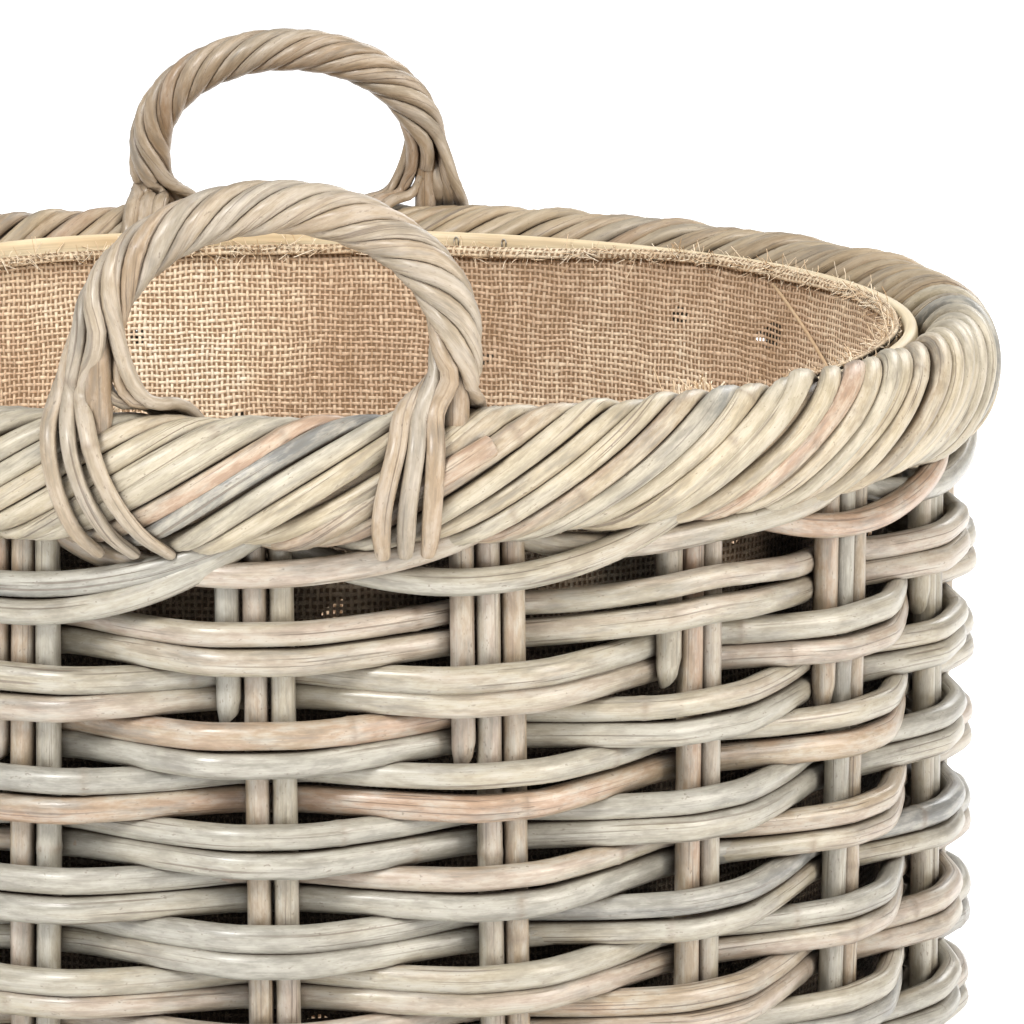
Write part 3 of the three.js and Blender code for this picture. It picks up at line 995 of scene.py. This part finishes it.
def build_rim():
    """The rolled border, in two pieces, because its canes at the back are painted browner and darker, as
    painted shade.
    """
    halves = {side: Bundle("rim_border_" + side) for side in ("front", "back")}
    rng = np.random.default_rng(SEED + 200)
    add_border_core(halves["back"], RIM_OVAL, rng)
    marked = marked_tints()
    for index in range(BORDER_STRANDS):
        start_angle = (index + rng.uniform(-0.22, 0.22)) * TURN / BORDER_STRANDS
        side = "front" if math.cos(start_angle + 0.2) > 0 else "back"
        keys = rim_keys(rng, start_angle, -0.08, 1.02)
        tint = border_tint(rng)
        wide = BORDER_WIDE * rng.uniform(0.88, 1.08)
        thick = BORDER_THICK * rng.uniform(0.9, 1.08)
        add_curve(
            halves[side], keys, wide, thick, rng, marked.get(index, tint), step=5 * MM,
            spacing=0.3, tilt=rng.uniform(0.02, 0.14), uneven=0.05,
        )
    add_stub(halves["front"], rng)
    finish_piece(halves["front"], BORDER_RATTAN, ["rim_border"])
    finish_piece(halves["back"], SHADED_BACK_BORDER_RATTAN, ["rim_border"])


def build_border_wale():
    """One cane for each stake group: out from under the border, low across the group, and back up.

    A few groups have a second cane, lower down.
    """
    rng = np.random.default_rng(SEED + 250)
    bundle = Bundle("border_wale_canes")
    base = WALL_RADIUS + CANE / 2 + 2.6 * MM
    canes = [(group, 0) for group in range(GROUPS)]
    canes += [(group, SECOND_CANE_DROP) for group in DOUBLED_GROUPS]
    degrees, out, drop = np.array(BORDER_WALE_WAY).T
    for group, lower in canes:
        deeper = rng.uniform(-1.5, 0.5) if group % 2 == 0 else rng.uniform(2.5, 6.5)
        slide = rng.uniform(-1.2, 1.2)
        angle = group_angle(group) + np.radians(degrees + slide)
        down = drop + (deeper + lower) * np.cos(np.radians(4.5 * degrees))
        height = BORDER_BOTTOM - down * MM + 0.6 * top_row_lift(angle)
        add_curve(
            bundle, ring_keys(angle, base + out * MM, height), WALE_WIDE, WALE_THICK, rng,
            row_tint(rng), step=5 * MM, spacing=0.4, uneven=0.05,
        )
    finish_piece(bundle, WEAVE_RATTAN, ["border_wale"])


def build_foot():
    """The foot border, rolled like the rim and pressed flat underneath."""
    low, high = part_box("foot_border")
    rng = np.random.default_rng(SEED + 300)
    half_up = (high.z + FOOT_SUNK) / 2
    oval = Oval(
        high.x - FOOT_THICKNESS / 2, high.z - half_up, FOOT_THICKNESS / 2 - BORDER_THICK,
        half_up - BORDER_THICK, low.z + BORDER_THICK + FOOT_CLEARANCE,
    )
    bundle = Bundle("foot_border_canes")
    share = np.arange(-0.05, 1.03, 0.02)
    for index in range(FOOT_STRANDS):
        start_angle = (index + rng.uniform(-0.12, 0.12)) * TURN / FOOT_STRANDS
        angle = start_angle + share * TURN / FOOT_TURNS
        lift = wander(rng, share, 0.3, 0.5 * MM)
        keys = np.hstack(oval.place(angle, oval.turn_at(share), lift))
        wide = BORDER_WIDE * rng.uniform(0.88, 1.02)
        thick = BORDER_THICK * rng.uniform(0.9, 1.0)
        add_curve(
            bundle, keys, wide, thick, rng, border_tint(rng), spacing=0.3,
            tilt=rng.uniform(0.0, 0.15), uneven=0.05,
        )
    finish_piece(bundle, BORDER_RATTAN, ["foot_border"])


def build_foot_wale():
    """Just above the foot, in two layers: one cane starts at every group and crosses in front of it."""
    low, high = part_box("foot_wale")
    rng = np.random.default_rng(SEED + 350)
    bundle = Bundle("foot_wale_canes")
    layer_height = (high.z - low.z) / 2
    degrees, out, up = np.array(FOOT_WALE_WAY).T
    radius = high.x - FOOT_WALE_THICK + out * MM
    for layer in range(2):
        height = low.z + (layer + 0.5) * layer_height + up * MM
        for group in range(GROUPS):
            angle = group_angle(group) + np.radians(degrees + 2 * layer)
            keys = ring_keys(angle, radius, height)
            add_curve(bundle, keys, FOOT_WALE_WIDE, FOOT_WALE_THICK, rng, row_tint(rng))
    finish_piece(bundle, WEAVE_RATTAN, ["foot_wale"])


# ---- The base: canes over and under ribs ----
def build_base():
    rng = np.random.default_rng(SEED + 400)
    low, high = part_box("base_weave")
    ribs = [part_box(name) for name in RIB_NODES]
    rib_half = (ribs[0][1].z - ribs[0][0].z) / 2
    rib_height = ribs[0][0].z + rib_half
    places = [(start.y + end.y) / 2 for start, end in ribs]
    bundle = Bundle("base_ribs")
    for (start, end), place in zip(ribs, places):
        across = np.linspace(start.x, end.x, 80)
        path = np.column_stack([across, np.full(80, place), np.full(80, rib_height)])
        facing = np.tile(UP, (80, 1))
        add_strand(bundle, path, facing, rib_half, rib_half, rng, rng.uniform(0.3, 0.7), power=2.05)
    finish_piece(bundle, WEAVE_RATTAN, RIB_NODES)
    bundle = Bundle("base_canes")
    rib_pitch = abs(places[1] - places[0])
    pitch = 2 * BASE_CANE_WIDE + BASE_CANE_GAP
    swing = rib_half + BASE_CANE_THICK
    facing = np.tile(UP, (240, 1))
    count = int(2 * high.x / pitch)
    for index in range(count):
        across = (index - (count - 1) / 2) * pitch
        reach = math.sqrt(max(high.x**2 - across**2, (12 * MM) ** 2))
        run = np.linspace(-reach, reach, 240)
        side = 1 if index % 2 else -1
        height = rib_height + side * swing * np.cos(math.pi * (run - places[0]) / rib_pitch)
        path = np.column_stack([across + wander(rng, run, 0.1, 0.4 * MM), run, height])
        add_strand(
            bundle, path, facing, BASE_CANE_WIDE, BASE_CANE_THICK, rng, row_tint(rng), sides=10, power=2.4
        )
    finish_piece(bundle, WEAVE_RATTAN, ["base_weave"])


# ---- Hoop and hessian liner ----
def build_hoop():
    """The peeled hoop, whose two tapered ends lap; gives its inner face's radius and its height."""
    low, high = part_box("liner_hoop")
    rng = np.random.default_rng(SEED + 500)
    bundle = Bundle("peeled_hoop")
    half_up = (high.z - low.z) / 2
    middle = (low.z + high.z) / 2
    radius = high.x - HOOP_THICK - HOOP_CLEARANCE
    angle = np.arange(HOOP_LAP_START, HOOP_LAP_START + TURN + HOOP_LAP, 0.012)
    share = (angle - angle[0]) / HOOP_LAP
    far = (angle[-1] - angle) / HOOP_LAP
    slide = np.clip(1 - share, 0, 1) - np.clip(1 - far, 0, 1)
    along = (angle - HOOP_LAP_START) * radius
    out = radius + slide * HOOP_THICK * 0.55 + wander(rng, along, 0.2, 0.5 * MM)
    path = ring_points(angle, out, middle + wander(rng, along, 0.25, 0.7 * MM))
    add_strand(
        bundle, path, outward(angle), half_up * 0.97, HOOP_THICK, rng, 0.5, step=9 * MM, sides=16,
        power=4.5, spacing=NO_NODES, taper=((0.05, 0.5), (0.05, 0.5)), uneven=0.02,
    )
    finish_piece(bundle, PEELED_CANE, ["liner_hoop"])
    return radius - HOOP_THICK, middle


def build_staples(face_radius, middle):
    """Small wire staples through the hoop, near its top edge."""
    rng = np.random.default_rng(SEED + 550)
    bundle = Bundle("hoop_staples")
    left = np.array(STAPLE_HALF)
    wire = np.vstack([left, STAPLE_CROWN, left[::-1] * [-1, 1, 1]])
    aside, out, up = (wire * MM).T
    for degrees in STAPLE_DEGREES:
        angle = math.radians(degrees) + aside / face_radius
        keys = ring_keys(angle, face_radius + out, middle + STAPLE_RISE + up)
        add_curve(
            bundle, keys, STAPLE_WIRE, STAPLE_WIRE, rng, 0.5, key_step=0.3 * MM, step=0.5 * MM,
            sides=6, spacing=NO_NODES, uneven=0.0,
        )
    finish_piece(bundle, WIRE, [])


def round_grid(radius, height, angle):
    """Rings about the basket's axis, and the quads between them, which face inward or up."""
    radius, height, angle = np.broadcast_arrays(radius, height, angle)
    points = np.stack([radius * np.sin(angle), -radius * np.cos(angle), height], -1)
    index = np.arange(radius.size).reshape(radius.shape)
    quads = np.stack([index[:-1, 1:], index[:-1, :-1], index[1:, :-1], index[1:, 1:]], -1)
    return points, quads.reshape(-1, 4)


def hem_raised(angle):
    """Where the liner's top edge is pulled up over the hoop's face: 1 there, and 0 elsewhere."""
    inside = RAISED_REACH - np.abs(angle - RAISED_MIDDLE)
    share = np.clip(inside / RAISED_RAMP, 0, 1)
    return share * share * (3 - 2 * share)


def add_liner_side(bundle, rng, angle, side_radius, floor):
    """The hanging side, rippled, with the quarter round at its foot."""
    foot = floor + LINER_CORNER
    share = np.linspace(0, 1, LINER_ROWS + 1)[:, None]
    raised = hem_raised(angle)
    height = foot + (LINER_HIGH.z + HEM_RISE * raised - foot) * share
    ripple = np.zeros((LINER_ROWS + 1, LINER_COLUMNS + 1))
    for waves_round, waves_up, size in LINER_RIPPLES:
        phase, lean = rng.uniform(0, TURN, 2)
        swing = 2 * np.sin(waves_up * TURN * share + lean)
        ripple += size * MM * np.sin(waves_round * angle + phase + swing)
    hollow = np.sin(math.pi * np.clip(share * 1.05, 0, 1))
    radius = side_radius - np.abs(ripple) * hollow + RAISED_OUT * raised * share**12
    flat = np.zeros_like(angle)
    bend = np.radians(np.arange(0, 90, 9))[:, None] + flat
    corner_radius = side_radius - LINER_CORNER * (1 - np.sin(bend))
    corner_height = floor + LINER_CORNER * (1 - np.cos(bend))
    corner_along = foot - LINER_CORNER * (math.pi / 2 - bend)
    radius = np.concatenate([corner_radius, radius])
    points, quads = round_grid(radius, np.concatenate([corner_height, height]), angle)
    grain = np.zeros_like(points)
    grain[..., 0] = angle / TURN * LINER_THREADS * THREAD_PITCH
    grain[..., 1] = np.concatenate([corner_along, height])
    tone = np.full_like(points, 0.5)
    bundle.add(points.reshape(-1, 3), grain.reshape(-1, 3), tone.reshape(-1, 3), quads)


def add_liner_bottom(bundle, angle, edge_radius, floor):
    """The flat round bottom: rings, closed in the middle by a fan of triangles."""
    points, quads = round_grid(np.linspace(0.02, 1, 40)[:, None] * edge_radius, floor, angle)
    points = np.concatenate([points.reshape(-1, 3), [[0, 0, floor]]])
    ring = np.arange(LINER_COLUMNS)
    fan = np.stack([np.full(LINER_COLUMNS, len(points) - 1), ring, ring + 1], -1)
    bundle.add(points, points * (1, 1, 0), np.full(points.shape, 0.5), quads, fan)


def build_liner():
    """The hessian sheet."""
    rng = np.random.default_rng(SEED + 600)
    angle = np.arange(LINER_COLUMNS + 1) * TURN / LINER_COLUMNS
    side_radius = LINER_HIGH.x - LINER_INSET
    floor = LINER_LOW.z + LINER_LIFT
    bundle = Bundle("hessian_sheet")
    add_liner_side(bundle, rng, angle, side_radius, floor)
    add_liner_bottom(bundle, angle, side_radius - LINER_CORNER, floor)
    return finish_piece(bundle, HESSIAN, ["hessian_liner"])


def add_fibre(bundle, start, direction, length, size, rng):
    """One loose jute fibre; it is kept inside the hoop."""
    reach = np.linspace(0, 1, 6)[:, None]
    path = start + length * (direction * reach + rng.normal(0, 0.35, 3) * reach**2)
    radius = np.hypot(path[:, 0], path[:, 1])
    path[:, :2] *= (np.minimum(radius, LINER_HIGH.x + RAISED_OUT) / radius)[:, None]
    facing = np.tile(unit(np.cross(direction, [0.3, 0.2, 1.0])), (6, 1))
    add_strand(
        bundle, path, facing, size, size, rng, 0.5, step=2 * MM, sides=4, power=2.0,
        spacing=NO_NODES, uneven=0.0,
    )


def build_hem_roll(rng):
    """The liner's folded top edge, which slopes inward and down."""
    bundle = Bundle("liner_hem")
    angle = np.arange(0, TURN + 0.04, 0.008)
    along = angle * LINER_HIGH.x
    raised = hem_raised(angle)
    out = LINER_HIGH.x - HEM_WIDE - HEM_GAP + RAISED_OUT * raised + wander(rng, along, 0.04, 0.7 * MM)
    height = LINER_HIGH.z - HEM_DROP + HEM_RISE * raised + wander(rng, along, 0.05, 0.8 * MM)
    add_strand(
        bundle, ring_points(angle, out, height), unit(UP - HEM_SLOPE * outward(angle)), HEM_WIDE,
        HEM_THICK, rng, 0.5, step=4 * MM, power=2.0, spacing=NO_NODES, uneven=0.14,
    )
    return finish_piece(bundle, HESSIAN_ROLL, [])


def build_fray(rng):
    """The liner's slanting seam, the loose fibres along its hem, and two thick tufts of them."""
    bundle = Bundle("hem_fray")
    top_radius = LINER_HIGH.x
    top = LINER_HIGH.z
    share = np.linspace(0, 1, 60)
    angle = SEAM_START - SEAM_LEAN * share
    add_strand(
        bundle, ring_points(angle, top_radius - SEAM_INSET, top - SEAM_DROP * share), outward(angle),
        SEAM_WIDE, SEAM_THICK, rng, 0.5, step=4 * MM, power=2.0, spacing=NO_NODES,
        taper=(None, (0.03, 0.3)), uneven=0.2,
    )
    for _ in range(HEM_FIBRES):
        turn = rng.uniform(0, TURN)
        raised = hem_raised(turn)
        depth = HEM_WIDE * rng.uniform(0.1, 2.1) - RAISED_OUT * raised
        height = top + rng.uniform(-3, 1.2) * MM + HEM_RISE * raised
        start = ring_points(turn, top_radius - depth, height)[0]
        direction = unit(rng.normal(size=3) + [0, 0, 0.15] - 0.8 * outward(turn)[0])
        add_fibre(bundle, start, direction, rng.uniform(2, 7) * MM, rng.uniform(0.1, 0.2) * MM, rng)
    for degrees in TUFT_DEGREES:
        for _ in range(TUFT_FIBRES):
            turn = math.radians(degrees) + rng.normal(0, 6) * MM / top_radius
            start = ring_points(turn, top_radius - rng.uniform(0.5, 4) * MM, top + 1 * MM)[0]
            direction = unit(rng.normal(0, 0.9, 3) + [0, 0, 0.7])
            length = rng.uniform(5, 10) * MM
            add_fibre(bundle, start, direction, length, rng.uniform(0.16, 0.34) * MM, rng)
    return finish_piece(bundle, JUTE, [])


# ---- The handles ----
class Arch:
    """The handle's middle line at the front: a straight leg, half an ellipse and a straight leg."""

    def __init__(self, node):
        low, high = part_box(node)
        half = (high.x - low.x - BOW_CANE) / 2
        plane = BOW_CANE / 2 - max(abs(low.y), abs(high.y))
        spring = RIM_TOP + BOW_SPRING
        rise = high.z - BOW_CANE / 2 - spring
        turn = np.linspace(0, math.pi, 200)
        arc = np.column_stack([-half * np.cos(turn), np.zeros(200), spring + rise * np.sin(turn)])
        leg = np.linspace(low.z, spring, 30)[:-1]
        left = np.column_stack([np.full(29, -half), np.zeros(29), leg])
        right = left[::-1] * [-1, 1, 1]
        self.line = np.vstack([left, arc, right])
        above = np.maximum(0, self.line[:, 2] - RIM_TOP) / (spring + rise - RIM_TOP)
        self.line[:, 1] = plane + BOW_LEAN * above**2
        self.along = distances(self.line)
        self.foot = low.z

    def at(self, places):
        """Points along the arch, the ways out of its curve and the ways to its front."""
        point = sampled(self.along, self.line, places)
        ahead = sampled(self.along, self.line, np.minimum(places + 1 * MM, self.along[-1]))
        back = sampled(self.along, self.line, np.maximum(places - 1 * MM, 0))
        tangent = unit(ahead - back)
        outer = unit(np.cross([0.0, -1.0, 0.0], tangent))
        return point, outer, np.cross(tangent, outer)


def foot_keys(side, way, lane):
    """Where one rope strand lies over the border: lane 0 is the middle of its side-by-side strands."""
    keys = []
    surface = Oval(BORDER_RADIUS, BORDER_MIDDLE, BORDER_THICKNESS / 2, BORDER_HALF_UP)
    for degrees, turn, lift, apart in FOOT_PATHS[side, way]:
        angle = math.radians(degrees) + lane * apart * MM / BORDER_RADIUS
        point, facing = surface.place(np.array([angle]), np.radians([turn]), lift * MM)
        keys.append(np.concatenate([point[0], facing[0]]))
    return keys


def foot_lanes(phases):
    """Which way each rope strand goes at each foot, and its lane there.

    Strands on the rope's left, seen from outside the basket, run down outside the border, and the
    others go in behind it.
    """
    lanes = {}
    for foot, at_end in (("left", 0), ("right", 1)):
        turned = {}
        for index, ends in enumerate(phases):
            from_back = 0.75 * TURN - ends[1] if at_end else ends[0] + TURN / 4
            turned[index] = from_back % TURN
        order = sorted(turned, key=turned.get)
        outside = order[:-INSIDE_STRANDS]
        inside = order[:-INSIDE_STRANDS - 1:-1]
        for way, members in (("out", outside), ("in", inside)):
            for lane, index in enumerate(members):
                lanes[foot, index] = (way, lane - (len(members) - 1) / 2)
    return lanes


def build_handle(side, node_stem, turn):
    """A handle: its bent bow, and the strands roped round it that part over the border.

    It is shaped at the front and turned about the basket's axis to its own side.
    """
    arch = Arch(node_stem + "_bow")
    rng = np.random.default_rng(SEED + 700 + (side == "back"))
    cosine, sine = math.cos(turn), math.sin(turn)
    spin = np.array([[cosine, -sine, 0], [sine, cosine, 0], [0, 0, 1]])
    bundle = Bundle(f"{side}_handle_bow")
    point, outer, front = arch.at(np.linspace(0, arch.along[-1], 300))
    add_strand(bundle, point @ spin.T, front @ spin.T, BOW_CANE / 2, BOW_CANE / 2, rng, 0.75, power=2.0)
    finish_piece(bundle, HANDLE_RATTAN, [node_stem + "_bow"])
    bundle = Bundle(f"{side}_handle_rope")
    leg = RIM_TOP - arch.foot
    radius = SLEEVE / 2 - ROPE_THICK + ROPE_PROUD
    places = np.linspace(leg + ROPE_LEAVES_LEFT, arch.along[-1] - leg - ROPE_LEAVES_RIGHT, 90)
    point, outer, front = arch.at(places)
    wound = ROPE_TURNS * np.linspace(0, TURN, 90)
    strands = []
    for strand in range(ROPE_STRANDS):
        phase = strand * TURN / ROPE_STRANDS + 0.35 - wound
        away = outer * np.cos(phase)[:, None] + front * np.sin(phase)[:, None]
        strands.append((phase, np.hstack([point + radius * away, away])))
    lanes = foot_lanes([(phase[0], phase[-1]) for phase, _ in strands])
    for index, (_, rows) in enumerate(strands):
        left = foot_keys("left", *lanes["left", index])
        right = foot_keys("right", *lanes["right", index])
        curve = smooth_curve(np.vstack([left[::-1], rows, right]))
        wide = ROPE_WIDE * rng.uniform(0.95, 1.03)
        thick = ROPE_THICK * rng.uniform(0.95, 1.05)
        tint = rng.uniform(0.0, 0.75) if side == "front" else rng.uniform(0.25, 0.8)
        add_strand(
            bundle, curve[:, :3] @ spin.T, curve[:, 3:] @ spin.T, wide, thick, rng, tint,
            step=4 * MM, sides=14, ends=("round", "round"), taper=((0.12, 0.7), (0.012, 0.75)),
            spacing=0.3, uneven=0.04,
        )
    replaced = [f"{node_stem}_roping", f"{node_stem}_lashing_left", f"{node_stem}_lashing_right"]
    finish_piece(bundle, HANDLE_RATTAN, replaced)


# ---- Floor, light and camera ----
def build_floor():
    """A plain pale floor."""
    mesh = bpy.data.meshes.new("floor")
    corners = [(x * FLOOR_HALF, y * FLOOR_HALF, 0) for x, y in ((-1, -1), (1, -1), (1, 1), (-1, 1))]
    mesh.from_pydata(corners, [], [(0, 1, 2, 3)])
    shader = Shader("floor_paper")
    place = shader.node("ShaderNodeNewGeometry").outputs["Position"]
    field = shader.noise(place, (0.8, 0.8, 0.8))
    east, north, _ = shader.parts(place)
    away = shader.math("SQRT", shader.times_plus(east, east, shader.times(north, north)))
    colour = shader.ramp(field, [(0.3, (0.90, 0.90, 0.90)), (0.7, (0.93, 0.93, 0.93))])
    glow = shader.ranged(away, FLOOR_GREY_TO, FLOOR_WHITE_FROM, 0.0, FLOOR_GLOW)
    shader.feed("Base Color", colour)
    shader.surface.inputs["Roughness"].default_value = 0.9
    shader.surface.inputs["Specular IOR Level"].default_value = 0.1
    shader.surface.inputs["Emission Color"].default_value = (1, 1, 1, 1)
    shader.feed("Emission Strength", glow)
    mesh.materials.append(shader.material)
    floor = bpy.data.objects.new("floor", mesh)
    bpy.context.scene.collection.objects.link(floor)


def add_area_light(name, place, target, size, power, colour):
    lamp = bpy.data.lights.new(name, "AREA")
    lamp.shape = "DISK"
    lamp.size = size
    lamp.energy = power
    lamp.color = colour
    light = bpy.data.objects.new(name, lamp)
    light.location = place
    light.rotation_euler = (Vector(target) - Vector(place)).to_track_quat("-Z", "Y").to_euler()
    bpy.context.scene.collection.objects.link(light)


def build_lights():
    """Soft studio light: a bright key from the front left, a warm fill, and two weaker lights."""
    world = bpy.data.worlds.new("studio")
    world.use_nodes = True
    background = world.node_tree.nodes["Background"]
    background.inputs["Color"].default_value = (1, 1, 1, 1)
    background.inputs["Strength"].default_value = 0.46
    bpy.context.scene.world = world
    centre = (0, 0, 0.3)
    add_area_light("key", (-1.5, -2.6, 2.7), centre, 1.1, 118, (1.0, 0.985, 0.96))
    add_area_light("fill", (2.8, -1.6, 1.4), centre, 1.6, 70, (1.0, 0.93, 0.84))
    add_area_light("top", (0.3, -0.4, 3.0), centre, 1.4, 24, (1.0, 1.0, 1.0))
    add_area_light("rear", (1.6, 2.9, 2.3), centre, 1.6, 40, (1.0, 0.99, 0.97))


def build_camera():
    flat = math.cos(CAMERA_ELEVATION)
    back = Vector((
        math.sin(CAMERA_AZIMUTH) * flat, -math.cos(CAMERA_AZIMUTH) * flat, math.sin(CAMERA_ELEVATION)
    ))
    right = Vector((math.cos(CAMERA_AZIMUTH), math.sin(CAMERA_AZIMUTH), 0))
    data = bpy.data.cameras.new("camera")
    data.lens = LENS
    data.sensor_width = SENSOR
    camera = bpy.data.objects.new("camera", data)
    camera.location = CAMERA_PIVOT + back * CAMERA_DISTANCE
    aim = CAMERA_PIVOT + right * AIM_RIGHT + Vector((0, 0, AIM_UP))
    camera.rotation_euler = (aim - camera.location).to_track_quat("-Z", "Y").to_euler()
    bpy.context.scene.collection.objects.link(camera)
    bpy.context.scene.camera = camera


build_camera()
build_floor()
build_lights()
bpy.context.scene.view_settings.view_transform = "Standard"
for row in range(len(ROW_NODES)):
    build_row(row)
build_stakes()
build_rim()
build_border_wale()
build_foot()
build_foot_wale()
build_base()
build_staples(*build_hoop())
liner = build_liner()
hem_rng = np.random.default_rng(SEED + 650)
hem = build_hem_roll(hem_rng)
fray = build_fray(hem_rng)
build_handle("front", "handle_front", 0.0)
build_handle("back", "handle_back", math.pi)
